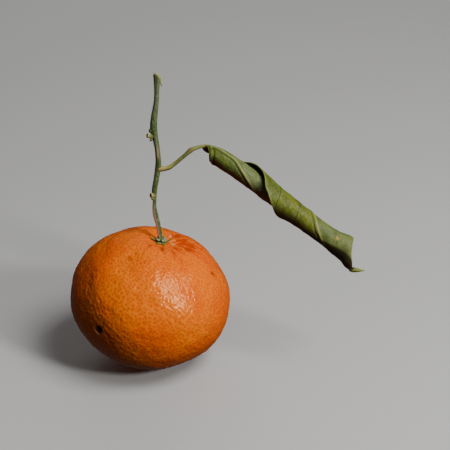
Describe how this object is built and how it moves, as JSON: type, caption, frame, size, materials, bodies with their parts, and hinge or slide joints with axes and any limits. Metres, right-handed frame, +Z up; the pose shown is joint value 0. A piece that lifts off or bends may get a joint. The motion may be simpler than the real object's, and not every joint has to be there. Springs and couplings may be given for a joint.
{
  "type": "mandarin",
  "caption": "Ripe mandarin lying on its blossom end, with its calyx, a cut piece of twig and a dry leaf rolled into a tube.",
  "frame": {"origin": "on the resting surface, inside the flat spot under the fruit's middle", "axes": "+Z up, +X to the right on the side that the leaf points to, -Y towards the front"},
  "size_m": [0.1093, 0.06, 0.1103],
  "materials": {
    "peel": "waxy orange citrus peel",
    "calyx_green": "matt grey-green",
    "green_bark": "matt green bark",
    "stalk_green": "satin yellow-green",
    "leaf_underside": "matt pale green leaf"
  },
  "bodies": {
    "root": {"fruit": "peel", "calyx": "calyx_green", "twig": "green_bark", "leaf_stalk": "stalk_green", "leaf_blade": "leaf_underside"}
  },
  "joints": []
}
